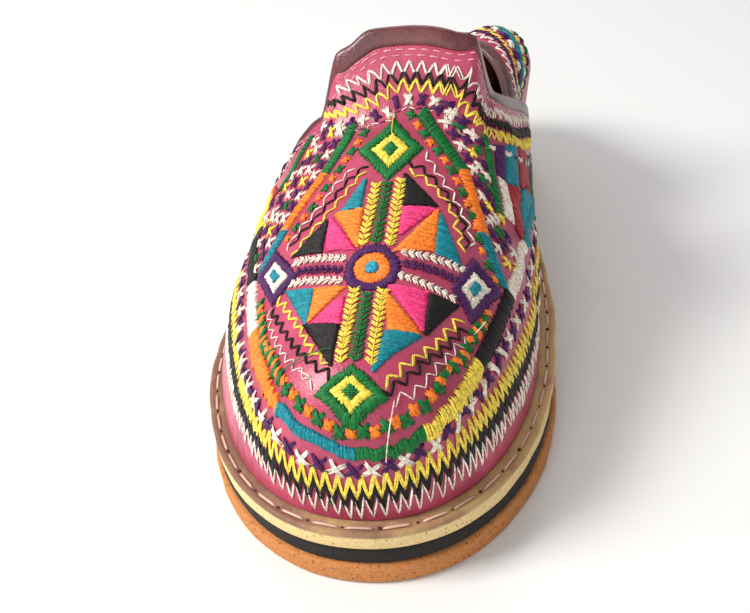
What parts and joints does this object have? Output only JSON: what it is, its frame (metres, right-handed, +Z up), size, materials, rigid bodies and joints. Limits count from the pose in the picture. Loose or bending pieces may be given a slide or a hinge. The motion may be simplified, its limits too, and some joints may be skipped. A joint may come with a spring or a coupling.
{
  "type": "leather slipper",
  "caption": "Embroidered leather slipper for the right foot, round toe, high instep tab, heel trodden down inside, layered flat sole.",
  "frame": {"origin": "centre of the bounding box in plan, on the floor", "axes": "+Y from toe to heel, +X to the big-toe side, +Z up"},
  "size_m": [0.0991, 0.252, 0.0988],
  "materials": {
    "outsole": "matt crepe",
    "midsole": "matt",
    "welt": "raw cut edge, worn top strip",
    "insole": "satin, worn",
    "vamp": "glossy with thread embroidery",
    "vamp_binding": "glossy rolled edge",
    "quarter": "glossy with thread embroidery",
    "quarter_binding": "satin rolled edge"
  },
  "bodies": {
    "root": {"outsole": "outsole", "midsole": "midsole", "welt": "welt", "insole": "insole", "vamp": "vamp", "vamp_binding": "vamp_binding", "quarter": "quarter", "quarter_binding": "quarter_binding"}
  },
  "joints": []
}
